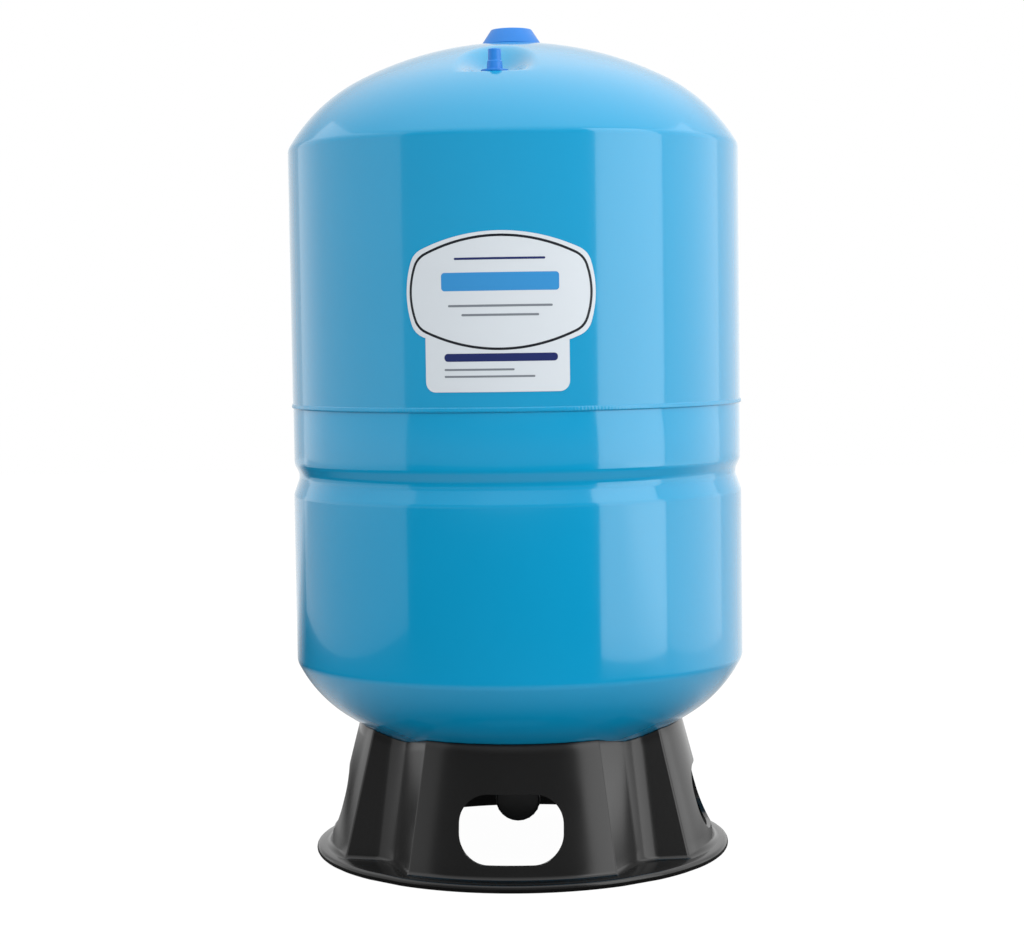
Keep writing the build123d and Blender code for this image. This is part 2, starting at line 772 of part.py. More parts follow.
pad_floor_z = lower_head.height(stud_circle_radius - stud_pad_radius) - support_thickness - stud_pad_drop
with BuildPart() as base:
    add(base_outside.part)
    with BuildSketch(Plane.XZ):
        with BuildLine():
            Polyline(
                (base_lobe_radius - flute_depth - base_wall, 0),
                (foot_radius - foot_edge, 0),
                (foot_radius, foot_edge),
                (foot_radius - foot_edge / 2, foot_height - 1),
                (foot_radius - foot_edge, foot_height),
                (base_lobe_radius - flute_depth - base_wall, foot_height),
                close=True,
            )
        make_face()
    revolve(axis=Axis.Z)
    add(base_inside.part, mode=Mode.SUBTRACT)
    with BuildPart(mode=Mode.PRIVATE) as shelf_clipped:
        add(support_shelf.part)
        with BuildSketch(Plane.XY.offset(pad_floor_z)):
            with PolarLocations(stud_circle_radius, base_lobes, start_angle=45):
                Circle(stud_pad_radius)
        extrude(amount=stud_pad_drop + support_thickness + 10)
        add(base_outside.part, mode=Mode.INTERSECT)
    add(shelf_clipped.part)
    with Locations((0, 0, lower_head.crown_z)):
        Sphere(lower_crown + gap, mode=Mode.SUBTRACT)
    with BuildSketch(Plane.XY):
        with PolarLocations(stud_circle_radius, base_lobes, start_angle=45):
            Circle(stud_hole_radius)
    extrude(amount=base_top_z, mode=Mode.SUBTRACT)
    for turn in range(base_lobes):
        with BuildSketch(Plane.XZ.rotated((0, 0, turn * lobe_step))):
            with Locations((0, window_bottom_z + window_height / 2)):
                RectangleRounded(window_width, window_height, window_corner)
        extrude(amount=foot_radius, mode=Mode.SUBTRACT)
base.part.label = "base"
export_step(base.part, "parts/base.step")

# Welded studs, washers and nuts
stud_top_z = lower_head.height(stud_circle_radius - stud_radius) - gap
washer_z = pad_floor_z - washer_thickness
with BuildPart() as base_studs:
    with BuildSketch(Plane.XY.offset(stud_top_z)):
        with PolarLocations(stud_circle_radius, base_lobes, start_angle=45):
            Circle(stud_radius)
    extrude(amount=-stud_length)
base_studs.part.label = "base_studs"
export_step(base_studs.part, "parts/base_studs.step")

with BuildPart() as base_washers:
    with BuildSketch(Plane.XY.offset(pad_floor_z)):
        with PolarLocations(stud_circle_radius, base_lobes, start_angle=45):
            Circle(washer_radius)
            Circle(stud_radius + gap, mode=Mode.SUBTRACT)
    extrude(amount=-washer_thickness)
base_washers.part.label = "base_washers"
export_step(base_washers.part, "parts/base_washers.step")

with BuildPart() as base_nuts:
    with BuildSketch(Plane.XY.offset(washer_z)):
        with PolarLocations(stud_circle_radius, base_lobes, start_angle=45):
            RegularPolygon(nut_across_flats / 2, 6, major_radius=False)
            Circle(stud_radius + gap, mode=Mode.SUBTRACT)
    extrude(amount=-nut_height)
base_nuts.part.label = "base_nuts"
export_step(base_nuts.part, "parts/base_nuts.step")

# Label: a badge with bowed sides above a rounded tab, wrapped on the upper shell
label_inner = upper_radius + gap
badge_mid_z = (label_neck_z + label_top_z) / 2
with BuildPart() as label:
    with BuildSketch(Plane.XY.offset(label_bottom_z)):
        Circle(label_inner + label_thickness)
        Circle(label_inner, mode=Mode.SUBTRACT)
    extrude(amount=label_top_z - label_bottom_z)
    with BuildSketch(Plane.XZ) as outline:
        half_chord = label_inner * sin(label_width / 2 / label_inner)
        neck_chord = label_inner * sin(label_neck_width / 2 / label_inner)
        tab_chord = label_inner * sin(label_tab_width / 2 / label_inner)
        with BuildLine():
            ThreePointArc(
                (-neck_chord, label_top_z - label_top_bow),
                (0, label_top_z),
                (neck_chord, label_top_z - label_top_bow),
            )
            ThreePointArc(
                (neck_chord, label_top_z - label_top_bow), (half_chord, badge_mid_z), (neck_chord, label_neck_z)
            )
            ThreePointArc(
                (-neck_chord, label_top_z - label_top_bow),
                (-half_chord, badge_mid_z),
                (-neck_chord, label_neck_z),
            )
            Polyline((neck_chord, label_neck_z), (tab_chord, label_neck_z - 2), (tab_chord, label_bottom_z))
            Line((tab_chord, label_bottom_z), (-tab_chord, label_bottom_z))
            Polyline((-tab_chord, label_bottom_z), (-tab_chord, label_neck_z - 2), (-neck_chord, label_neck_z))
        make_face()
        fillet(outline.vertices().group_by(Axis.Y)[0], label_tab_corner)
    extrude(amount=label_inner * 2, mode=Mode.INTERSECT)
label.part.label = "label"
export_step(label.part, "parts/label.step")
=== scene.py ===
"""Looks of the well pressure tank: enamelled steel shells, moulded caps and a moulded base.

Lengths named in millimetres are turned to metres by MM. The front of the tank faces -Y.
"""

from math import asin, cos, degrees, pi, radians, sin, tan

import bmesh
import bpy
import numpy as np
from mathutils import Matrix, Vector


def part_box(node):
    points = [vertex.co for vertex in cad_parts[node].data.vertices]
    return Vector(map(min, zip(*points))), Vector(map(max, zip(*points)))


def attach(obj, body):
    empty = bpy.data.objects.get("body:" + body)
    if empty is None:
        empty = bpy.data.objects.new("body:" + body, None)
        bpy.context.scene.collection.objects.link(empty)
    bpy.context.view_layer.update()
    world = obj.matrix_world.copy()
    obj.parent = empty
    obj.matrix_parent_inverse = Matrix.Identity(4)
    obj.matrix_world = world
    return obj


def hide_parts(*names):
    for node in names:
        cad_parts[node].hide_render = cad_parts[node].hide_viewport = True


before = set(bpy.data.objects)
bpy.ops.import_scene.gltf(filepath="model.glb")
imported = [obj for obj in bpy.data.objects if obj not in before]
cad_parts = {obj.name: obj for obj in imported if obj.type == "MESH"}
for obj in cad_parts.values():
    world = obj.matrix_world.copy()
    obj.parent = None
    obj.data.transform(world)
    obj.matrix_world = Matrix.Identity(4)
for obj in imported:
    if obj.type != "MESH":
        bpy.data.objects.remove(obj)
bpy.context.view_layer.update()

MM = 0.001
GAP = 0.3

# Shells
SHEET = 1.5
UPPER_R = 215.0
BAND_R = 214.6
LOWER_R = 215.4
SEAM_Z = 432.0
BEAD_Z = SEAM_Z - 0.9
UPPER_HEAD = dict(side=1, tip=774.2, wall=UPPER_R, crown=325.725, knuckle=161.25, shoulder=12.0, slope=59.0)
LOWER_HEAD = dict(side=-1, tip=85.3, wall=LOWER_R, crown=309.6, knuckle=124.485, shoulder=14.0, slope=63.0)
GROOVE_Z = 365.0
GROOVE_DEPTH = 4.5
GROOVE_FLOOR = 5.5
GROOVE_OVER = 9.5
GROOVE_UNDER = 14.5
GROOVE_BLEND = 12.0
BOSS_HOLE_R = 18.3
PORT_HOLE_R = 20.5
PORT_FLAT_R = 30.0
LIP_R = 213.2
LIP_TOP_Z = 446.0

# Charging valve
VALVE_X = -6.1
VALVE_Y = -147.92
SEAT_R = 13.0
SEAT_BLEND_R = 40.0
SEAT_BACK = 0.6

# Base
LOBE_R = 189.0
DRAFT = tan(radians(14.6))
LOBE_HALF = 30.5
CORNER = 4.0
FLUTE_R = 158.5
FLUTE_DRAFT = 0.165
FLUTE_TURN = -41.9
FLUTE_LEAN = 0.022
FLUTE_BLEND = 33.0
WALL = 4.0
FOOT_R = 200.0
FOOT_H = 8.0
FOOT_EDGE = 4.0
FILLET = 4.5
WINDOW_W = 95.0
WINDOW_Z = (21.2, 83.0)
WINDOW_CORNER = 27.0
SHELF_R = 112.0
SHELF_T = 4.0
STUD_RING = 128.0
PAD_R = 11.0

# Camera, matched to the photograph
CAMERA_FAR = 2.1854
CAMERA_HIGH = 0.4999
CAMERA_TURN = radians(3.5)
CAMERA_YAW = -0.0024
CAMERA_PITCH = 0.0621
CAMERA_ROLL = -0.0144
CAMERA_LENS = 79.5


def linear(hex_colour):
    """sRGB hex to a linear colour with alpha."""
    parts = [int(hex_colour[i : i + 2], 16) / 255 for i in (1, 3, 5)]
    return [c / 12.92 if c <= 0.04045 else ((c + 0.055) / 1.055) ** 2.4 for c in parts] + [1.0]


# Shapes


def arc(centre_r, centre_z, radius, start, end, steps):
    """Points on a circle between two angles in degrees, counted from +r towards +z."""
    t = np.radians(np.linspace(start, end, steps))
    return np.stack([centre_r + radius * np.cos(t), centre_z + radius * np.sin(t)], 1)


def rounded(points, radii, steps=7):
    """Polyline whose inner corners are replaced by arcs that touch both sides.

    At each corner the arc starts and ends radius * tan(turn / 2) away from it.
    """
    points = np.asarray(points, float)
    out = [points[:1]]
    for before, here, after, radius in zip(points, points[1:], points[2:], radii):
        a = (before - here) / np.linalg.norm(before - here)
        b = (after - here) / np.linalg.norm(after - here)
        half = np.arccos(np.clip(a @ b, -1, 1)) / 2
        if radius <= 0 or half > pi / 2 - 1e-6:
            out.append(here[None])
            continue
        centre = here + (a + b) / np.linalg.norm(a + b) * radius / sin(half)
        first = here + a * radius / np.tan(half) - centre
        last = here + b * radius / np.tan(half) - centre
        turn = np.arctan2(first[0] * last[1] - first[1] * last[0], first @ last)
        t = np.linspace(0, turn, steps)[:, None]
        side = np.array([-first[1], first[0]])
        out.append(centre + np.cos(t) * first + np.sin(t) * side)
    out.append(points[-1:])
    return np.concatenate(out)


def head_arcs(head, depth=0.0, first_r=0.0, steps=(30, 34, 9)):
    """Crown, knuckle and shoulder of a tank head, `depth` inside its outer face, from the axis out.

    Each arc starts where the one before it ends and points the same way there.
    """
    side, crown, knuckle, shoulder = head["side"], head["crown"], head["knuckle"], head["shoulder"]
    slope = radians(head["slope"])
    reach = head["wall"] - shoulder - (knuckle - shoulder) * sin(slope)
    split = asin(reach / (crown - knuckle))
    crown_z = head["tip"] - side * crown
    knuckle_z = crown_z + side * (crown - knuckle) * cos(split)
    wall_z = knuckle_z + side * (knuckle - shoulder) * cos(slope)
    first = asin(first_r / (crown - depth))
    parts = []
    for centre_r, centre_z, radius, a, b, n in (
        (0, crown_z, crown - depth, first, split, steps[0]),
        (reach, knuckle_z, knuckle - depth, split, slope, steps[1]),
        (head["wall"] - shoulder, wall_z, shoulder - depth, slope, pi / 2, steps[2]),
    ):
        t = np.linspace(a, b, n)
        parts.append(np.stack([centre_r + radius * np.sin(t), centre_z + side * radius * np.cos(t)], 1))
    return np.concatenate(parts)


def head_height(head, r, depth=0.0):
    """Height of a head's crown at a distance from the axis."""
    centre = head["tip"] - head["side"] * head["crown"]
    return centre + head["side"] * np.sqrt((head["crown"] - depth) ** 2 - np.asarray(r) ** 2)


def skin(name, grid, wrap=(True, False), sharp=32):
    """Mesh over a grid of points in millimetres, one quad per cell.

    `wrap` says which of the grid's two directions close on themselves. Points that
    coincide, as at a pole, are merged, and faces are turned outwards.
    """
    grid = np.asarray(grid, float)
    rows, columns = grid.shape[:2]
    index = np.arange(rows * columns).reshape(rows, columns)
    if wrap[1]:
        index = np.concatenate([index, index[:1]])
    if wrap[0]:
        index = np.concatenate([index, index[:, :1]], 1)
    quads = np.stack([index[:-1, :-1], index[:-1, 1:], index[1:, 1:], index[1:, :-1]], -1).reshape(-1, 4)
    mesh = bpy.data.meshes.new(name)
    mesh.from_pydata((grid.reshape(-1, 3) * MM).tolist(), [], quads.tolist())
    build = bmesh.new()
    build.from_mesh(mesh)
    bmesh.ops.remove_doubles(build, verts=build.verts, dist=1e-7)
    bmesh.ops.recalc_face_normals(build, faces=build.faces)
    build.to_mesh(mesh)
    build.free()
    return placed(name, mesh, sharp)


def placed(name, mesh, sharp=32):
    """Object for a mesh, smooth shaded except where faces meet at more than `sharp` degrees."""
    mesh.shade_smooth()
    mesh.set_sharp_from_angle(angle=radians(sharp))
    piece = bpy.data.objects.new(name, mesh)
    bpy.context.scene.collection.objects.link(piece)
    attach(piece, "root")
    return piece


def turned(profile, turns=256):
    """Grid from a profile of (r, z) points carried round the vertical axis."""
    profile = np.asarray(profile, float)
    t = np.linspace(0, 2 * pi, turns, endpoint=False)
    r, z = profile[:, :1], profile[:, 1:]
    return np.stack([r * np.cos(t), r * np.sin(t), z + 0 * t], -1)


def join(name, *pieces):
    """One object from several."""
    build = bmesh.new()
    for piece in pieces:
        build.from_mesh(piece.data)
        bpy.data.objects.remove(piece)
    mesh = bpy.data.meshes.new(name)
    build.to_mesh(mesh)
    build.free()
    return placed(name, mesh)


def dress(piece, material, node=None):
    """Give a piece its material and slot, and hide the CAD node that it stands for."""
    piece.data.materials.clear()
    piece.data.materials.append(material)
    if node:
        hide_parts(node)
    return piece


# Finishes


def add(tree, kind, sockets=None, wires=None, **settings):
    """Add one node with its settings, its sockets' values and its links."""
    made = tree.nodes.new(kind)
    for key, value in settings.items():
        setattr(made, key, value)
    for key, value in (sockets or {}).items():
        made.inputs[key].default_value = value
    for key, source in (wires or {}).items():
        tree.links.new(source, made.inputs[key])
    return made


def finish(name, tones, mottle_mm, rough, grain_mm, relief_mm, **sockets):
    """Material whose tone and roughness drift over `mottle_mm` and whose skin has grains of `grain_mm`.

    `tones` are two sRGB colours, `rough` two roughnesses, and `relief_mm` the grain's height.
    """
    material = bpy.data.materials.new(name)
    material.use_nodes = True
    tree = material.node_tree
    tree.nodes.clear()
    place = add(tree, "ShaderNodeTexCoord").outputs["Object"]
    drift = add(
        tree,
        "ShaderNodeTexNoise",
        {"Scale": 1 / (mottle_mm * MM), "Detail": 3.0, "Roughness": 0.55},
        {"Vector": place},
    ).outputs["Fac"]
    tone = add(
        tree,
        "ShaderNodeMix",
        {6: linear(tones[0]), 7: linear(tones[1])},
        {0: drift},
        data_type="RGBA",
    )
    dull = add(
        tree,
        "ShaderNodeMapRange",
        {"From Min": 0.3, "From Max": 0.7, "To Min": rough[0], "To Max": rough[1]},
        {"Value": drift},
    )
    grain = add(
        tree, "ShaderNodeTexNoise", {"Scale": 1 / (grain_mm * MM), "Detail": 2.0}, {"Vector": place}
    ).outputs["Fac"]
    relief = add(tree, "ShaderNodeBump", {"Strength": 1.0, "Distance": relief_mm * MM}, {"Height": grain})
    shader = add(
        tree,
        "ShaderNodeBsdfPrincipled",
        sockets,
        {"Base Color": tone.outputs[2], "Roughness": dull.outputs[0], "Normal": relief.outputs[0]},
    )
    add(tree, "ShaderNodeOutputMaterial", wires={"Surface": shader.outputs[0]})
    return material


# Baked enamel on drawn steel: deep gloss under a clear film, whose face-on reflections take
# some of the pigment's cyan, with a faint orange peel
enamel = finish(
    "baked_enamel_steel", ("#008dbb", "#0091c0"), 120, (0.12, 0.16), 3.0, 0.004,
    **{"Coat Weight": 0.5, "Coat Roughness": 0.04, "IOR": 1.5, "Specular Tint": (0.85, 0.98, 1.0, 1.0)},
)
# Moulded polyethylene caps: saturated blue, softer gloss
cap_plastic = finish("moulded_pe_blue", ("#1173c6", "#1377cc"), 15, (0.3, 0.4), 0.8, 0.01, **{"IOR": 1.5})
# Moulded polypropylene base: charcoal with a fine spark-eroded texture and a broad sheen
base_plastic = finish("moulded_pp_charcoal", ("#0c0c0c", "#0f0f0f"), 60, (0.17, 0.21), 0.9, 0.006, **{"IOR": 1.49})
# Moulded polyethylene thread protector: near black and a little glossier than the base
plug_plastic = finish("moulded_pe_black", ("#141618", "#1a1d20"), 12, (0.3, 0.38), 0.7, 0.01, **{"IOR": 1.5})
# Laminated vinyl label: white film with a clear gloss
label_film = finish("laminated_vinyl_white", ("#c9d0d6", "#cbd2d8"), 60, (0.28, 0.29), 6.0, 0.002, **{"IOR": 1.48})
# Screen-printed inks under the same clear film
ink_navy = finish("printed_ink_navy", ("#17235a", "#192660"), 60, (0.28, 0.29), 6.0, 0.002, **{"IOR": 1.48})
ink_black = finish("printed_ink_black", ("#10151d", "#121820"), 60, (0.28, 0.29), 6.0, 0.002, **{"IOR": 1.48})
ink_blue = finish("printed_ink_blue", ("#2f86c2", "#3188c4"), 60, (0.28, 0.29), 6.0, 0.002, **{"IOR": 1.48})
ink_grey = finish("printed_ink_grey", ("#70777f", "#747b83"), 60, (0.28, 0.29), 6.0, 0.002, **{"IOR": 1.48})
# Pickled stainless steel pipe and fittings: grey metal with a satin haze
stainless = finish("pickled_stainless", ("#a7a9ab", "#b4b6b8"), 25, (0.3, 0.42), 1.2, 0.008, **{"Metallic": 1.0})
# Zinc-plated steel fasteners: slightly blue, brighter than the pipe
zinc = finish("zinc_plated_steel", ("#b4b8bd", "#c2c6ca"), 8, (0.26, 0.36), 0.8, 0.006, **{"Metallic": 1.0})
# Machined brass valve body: warm yellow metal with a clear shine
brass = finish("machined_brass", ("#c79a4a", "#d2a755"), 6, (0.22, 0.32), 0.7, 0.004, **{"Metallic": 1.0})
# Butyl rubber diaphragm and seals: near black, dull and slightly grained
butyl = finish("butyl_rubber", ("#17171a", "#1d1d20"), 20, (0.6, 0.75), 1.0, 0.02, **{"IOR": 1.5})

# Tank shells


def pressed_seat(grid):
    """How far the upper head is pressed down to the charging valve's seat, from 0 to 1.

    The weight is 1 within the seat's radius and falls along a smooth step outside it,
    which is longer behind the valve, where the head rises.
    """
    back = grid[..., 1] - VALVE_Y
    away = np.hypot(grid[..., 0] - VALVE_X, np.where(back > 0, back * SEAT_BACK, back))
    t = np.clip((SEAT_BLEND_R - away) / (SEAT_BLEND_R - SEAT_R), 0, 1)
    return t * t * (3 - 2 * t)


seat_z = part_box("air_valve_cap")[0][2] / MM

outer = np.concatenate([head_arcs(UPPER_HEAD, 0, BOSS_HOLE_R, (42, 60, 9)), [[UPPER_R, 560], [UPPER_R, SEAM_Z]]])
inner = np.concatenate(
    [head_arcs(UPPER_HEAD, SHEET, BOSS_HOLE_R, (10, 16, 4)), [[UPPER_R - SHEET, 560], [UPPER_R - SHEET, SEAM_Z]]]
)
upper = turned(np.concatenate([outer, inner[::-1]]), 512)
seat_level = np.where(np.arange(len(upper)) < len(outer), seat_z, seat_z - SHEET)[:, None]
upper[..., 2] += pressed_seat(upper) * np.minimum(seat_level - upper[..., 2], 0)
dress(skin("upper_shell_skin", upper, (True, True)), enamel, "upper_shell")


def grooved_wall(depth, start_z, end_z, steps):
    """Wall with the rolled groove, `depth` inside the outer face, upwards."""
    floor = BAND_R - GROOVE_DEPTH - depth
    low, high = GROOVE_Z - GROOVE_FLOOR / 2, GROOVE_Z + GROOVE_FLOOR / 2
    return rounded(
        [
            (LOWER_R - depth, start_z),
            (LOWER_R - depth, low - GROOVE_UNDER),
            (floor, low),
            (floor, high),
            (BAND_R - depth, high + GROOVE_OVER),
            (BAND_R - depth, end_z),
        ],
        [GROOVE_BLEND] * 4,
        steps,
    )


def lower_wall_profile(depth, steps, groove_steps):
    """Lower shell from the water port to the joggle under the seam."""
    arcs = head_arcs(LOWER_HEAD, depth, PORT_FLAT_R * (1 - depth / LOWER_HEAD["crown"]), steps)
    flat = [[PORT_HOLE_R, arcs[0, 1]]]
    return np.concatenate([flat, arcs, grooved_wall(depth, arcs[-1, 1] + 1, SEAM_Z - 3, groove_steps)])


lower_outer = lower_wall_profile(0, (28, 34, 9), 9)
lower_inner = lower_wall_profile(SHEET, (12, 14, 5), 5)
lip = [[LIP_R, SEAM_Z], [LIP_R, LIP_TOP_Z], [LIP_R - SHEET, LIP_TOP_Z], [LIP_R - SHEET, SEAM_Z]]
lower = turned(np.concatenate([lower_outer, lip, lower_inner[::-1]]), 384)
dress(skin("lower_shell_skin", lower, (True, True)), enamel, "lower_shell")

# Weld bead over the upper shell's edge, with fine ripples: its radius follows the cosine and its
# height the sine of one half turn, with a long flank above the middle and a short one below
t = np.linspace(0, 2 * pi, 1800, endpoint=False)
s = np.linspace(-pi / 2, pi / 2, 11)[:, None]
swell = 1.15 + 0.12 * np.cos(t * 420)
bead_r = BAND_R + 0.15 + swell * np.cos(s)
bead_z = BEAD_Z + np.where(s > 0, 3.4, 1.1) * np.sin(s) * (1 + 0 * t)
bead = np.stack([bead_r * np.cos(t), bead_r * np.sin(t), bead_z], -1)
bead_back = np.stack([(LIP_R + GAP) * np.cos(t), (LIP_R + GAP) * np.sin(t), BEAD_Z + 0 * t], -1)[None]
dress(skin("seam_bead", np.concatenate([bead, bead_back]), (True, True)), enamel, "seam_weld")

# Base


def unit(vector):
    """Vector of length one in the same direction."""
    return vector / np.linalg.norm(vector)


def base_section(height, inset, corner, blend):
    """Closed outline of lobes and flutes at one height, `inset` inside the outer face.

    Each flute is a rounded V whose bottom lies nearer to the side lobe. Where two faces
    that meet at an angle move inwards by d, their corner moves by d * tan(angle / 2)
    along each of them.
    """
    lobe = LOBE_R - height * DRAFT
    at = FLUTE_TURN + height * FLUTE_LEAN
    bottom = arc(0, 0, FLUTE_R - height * FLUTE_DRAFT, at, at, 1)[0]
    front, side = arc(0, 0, lobe, LOBE_HALF - 90, -LOBE_HALF, 2)
    walls = [unit(np.array([step[1], -step[0]])) for step in (bottom - front, side - bottom)]
    halves = [
        LOBE_HALF - degrees(inset * tan(np.arccos(unit(point) @ wall) / 2) / lobe)
        for point, wall in zip((front, side), walls)
    ]
    middle = unit(walls[0] + walls[1])
    bottom = bottom - middle * inset / (middle @ walls[0])
    line = np.concatenate(
        [arc(0, 0, lobe - inset, -90, halves[0] - 90, 24), [bottom], arc(0, 0, lobe - inset, -halves[1], 0, 24)]
    )
    line = rounded(line, [0] * 22 + [corner, blend, corner] + [0] * 22, 9)
    right = np.concatenate([line[:-1], line[:0:-1] * [1, -1]])
    return np.concatenate([right, -right])


TOP = float(head_height(LOWER_HEAD, 0.85 * LOBE_R))
low_out, high_out = base_section(0, 0, CORNER, FLUTE_BLEND), base_section(TOP, 0, CORNER, FLUTE_BLEND)
low_in, high_in = base_section(0, WALL, 1, FLUTE_BLEND - WALL), base_section(TOP, WALL, 1, FLUTE_BLEND - WALL)


def wall_at(low, high, z):
    """Points of the ruled wall at a height, or at one height per point."""
    share = np.broadcast_to(np.asarray(z, float) / TOP, len(low))[:, None]
    return low + (high - low) * share


def under_head(r):
    """Height a gap below the lower head, at a distance from the axis."""
    return head_height(LOWER_HEAD, r, -GAP)


def meet_head(low, high):
    """Height at which each line of the ruled wall meets the lower head, found by repeated substitution."""
    z = np.full(len(low), 125.0)
    for _ in range(30):
        z = under_head(np.linalg.norm(wall_at(low, high, z), axis=1))
    return z


def ring(points, z):
    """Row of a grid from plan points and heights."""
    return np.concatenate([points, np.broadcast_to(np.asarray(z, float), len(points))[:, None]], 1)


def outward(points, step):
    """Plan points moved away from the axis."""
    length = np.linalg.norm(points, axis=1, keepdims=True)
    return points * (1 + step / length)


def at_radius(points, radius):
    """Plan points moved along their own direction to a radius."""
    return points * (radius / np.linalg.norm(points, axis=1, keepdims=True))


rim_out, rim_in = meet_head(low_out, high_out), meet_head(low_in, high_in)
# foot: underside, rounded edge, top, and a hollow fillet up to the wall
rows = [ring(wall_at(low_in, high_in, 0), 0), ring(at_radius(low_out, FOOT_R - 3.4), 0)]
for turn in np.radians(np.linspace(-80, 80, 9)):
    edge_r = FOOT_R - FOOT_EDGE + FOOT_EDGE * cos(turn)
    rows.append(ring(at_radius(low_out, edge_r), FOOT_EDGE + FOOT_EDGE * sin(turn)))
fillet_r = np.minimum(FILLET, FOOT_R - 4.5 - np.linalg.norm(wall_at(low_out, high_out, FOOT_H), axis=1))
for turn in np.radians(np.linspace(90, 0, 7)):
    level = FOOT_H + FILLET * (1 - sin(turn))
    line = wall_at(low_out, high_out, level)
    rows.append(ring(outward(line, (fillet_r * (1 - cos(turn)))[:, None]), level))
for share in np.linspace(0, 1, 14)[1:]:
    z = FOOT_H + FILLET + (rim_out - 1.2 - FOOT_H - FILLET) * share
    rows.append(ring(wall_at(low_out, high_out, z), z))
# rounded rim, then the dished shelf under the head and back down the inner wall
rim = wall_at(low_out, high_out, rim_out)
rows.append(ring(outward(rim, -0.35), rim_out - 0.35))
rows.append(ring(outward(rim, -1.2), under_head(np.linalg.norm(rim, axis=1) - 1.2)))
inside = wall_at(low_in, high_in, rim_in)
inside_r = np.linalg.norm(inside, axis=1)
shelf_rows = [(share, 0.0) for share in np.linspace(0, 1, 9)[1:]] + [(share, SHELF_T) for share in np.linspace(1, 0, 9)]
for share, drop in shelf_rows:
    r = inside_r + (SHELF_R - inside_r) * share
    rows.append(ring(inside * (r / inside_r)[:, None], under_head(r) - drop))
for share in np.linspace(1, 0, 8)[1:-1]:
    z = (rim_in - SHELF_T) * share
    rows.append(ring(wall_at(low_in, high_in, z), z))
base_skin = skin("base_moulding", np.array(rows), (True, True), 40)


def window_cutter(turn):
    """Rounded slab that cuts one opening, with its long side along the base's radius."""
    w, low, high = WINDOW_W / 2, WINDOW_Z[0], WINDOW_Z[1]
    corners = [(0, low), (w, low), (w, high), (-w, high), (-w, low), (0, low)]
    outline = rounded(corners, [WINDOW_CORNER] * 4, 17)[:-1]
    depths = np.array([140.0, 215.0])
    grid = np.stack(
        [np.broadcast_to(outline[:, 0], (2, len(outline))),
         -np.broadcast_to(depths[:, None], (2, len(outline))),
         np.broadcast_to(outline[:, 1], (2, len(outline)))], -1,
    )
    c, s = cos(turn), sin(turn)
    grid = grid @ np.array([[c, s, 0], [-s, c, 0], [0, 0, 1]])
    middles = grid.mean(1, keepdims=True) + 0 * grid
    return np.concatenate([middles[:1], grid, middles[1:]])


cutter = join("window_cutters", *(skin(f"window_{n}", window_cutter(n * pi / 2)) for n in range(4)))
cut = base_skin.modifiers.new("windows", "BOOLEAN")
cut.operation = "DIFFERENCE"
cut.object = cutter
cut.solver = "EXACT"
bpy.context.view_layer.update()
cut_mesh = bpy.data.meshes.new_from_object(base_skin.evaluated_get(bpy.context.evaluated_depsgraph_get()))
base_skin.modifiers.clear()
base_skin.data = cut_mesh
cut_mesh.shade_smooth()
cut_mesh.set_sharp_from_angle(angle=radians(40))
bpy.data.objects.remove(cutter)
dress(base_skin, base_plastic, "base")

# Seats for the washers, moulded under the shelf
pad_floor = head_height(LOWER_HEAD, STUD_RING - PAD_R) - SHELF_T - 4.0
pad_profile = [(3.6, 9), (3.6, 0), (PAD_R - 0.8, 0), (PAD_R, 0.8), (PAD_R, 6), (3.6, 9)]
pads = []
for turn in np.radians([45, 135, 225, 315]):
    place = np.array([STUD_RING * cos(turn), STUD_RING * sin(turn), pad_floor])
    pads.append(skin("pad", turned(pad_profile, 48) + place))
dress(join("stud_pads", *pads), base_plastic)

# Caps
top_z = 788.0
cap_foot_z = float(head_height(UPPER_HEAD, 29.0)) + GAP
cap_profile = rounded(
    [(0, top_z), (19.3, top_z), (29.0, cap_foot_z), (27.0, cap_foot_z), (17.6, top_z - 2), (0, top_z - 2)],
    [1.4, 0.5, 0.3, 1.0],
)
dress(skin("top_cap_moulding", turned(cap_profile, 160)), cap_plastic, "top_cap")

valve_profile = rounded(
    [
        (0, 20.8), (5.85, 20.8), (5.85, 10.5), (6.7, 9.5), (7.2, 2.2), (12.4, 2.2), (12.4, 0), (5.9, 0), (5.9, 9.3),
        (4.15, 9.3), (4.15, 19.6), (0, 19.6),
    ],
    [1.1, 0.5, 0.5, 0.8, 0.6, 0.4, 0.2, 0.2, 0.2, 0.2],
)
valve_cap = turned(valve_profile, 96) + np.array([VALVE_X, VALVE_Y, seat_z])
dress(skin("valve_cap_moulding", valve_cap), cap_plastic, "air_valve_cap")

# Thread protector on the elbow: a cup whose outside carries half-round ribs
ELBOW_Z = 58.0
PROTECTOR_Y = -66.3
RIBS, RIB = 24, 0.4
cup = turned(
    rounded([(0, 0), (20.9, 0), (20.9, 3), (20.9, 25), (17.0, 25), (17.0, 4), (0, 4)], [2.0, 0, 0.8, 0.6, 0.6]),
    RIBS * 16,
)
t = np.linspace(0, 2 * pi, RIBS * 16, endpoint=False)
rib = RIB * np.sqrt(np.clip(np.cos(RIBS * t), 0, 1)) * np.clip((cup[..., 2] - 1.5) / 1.5, 0, 1)
grow = 1 + rib * (np.hypot(cup[..., 0], cup[..., 1]) > 20.0) / 20.9
protector = np.stack([cup[..., 0] * grow, PROTECTOR_Y + cup[..., 2], ELBOW_Z + cup[..., 1] * grow], -1)
dress(skin("thread_protector", protector), plug_plastic, "thread_cap")

# Label, wrapped on the upper shell
LABEL_LOW, LABEL_HIGH = 447.8, 588.2
BADGE_LOW, BADGE_SIDE, BADGE_BOW, BADGE_SWELL = 500.0, 78.0, 18.7, 7.2
TAB_LEFT, TAB_RIGHT = -67.5, 60.5


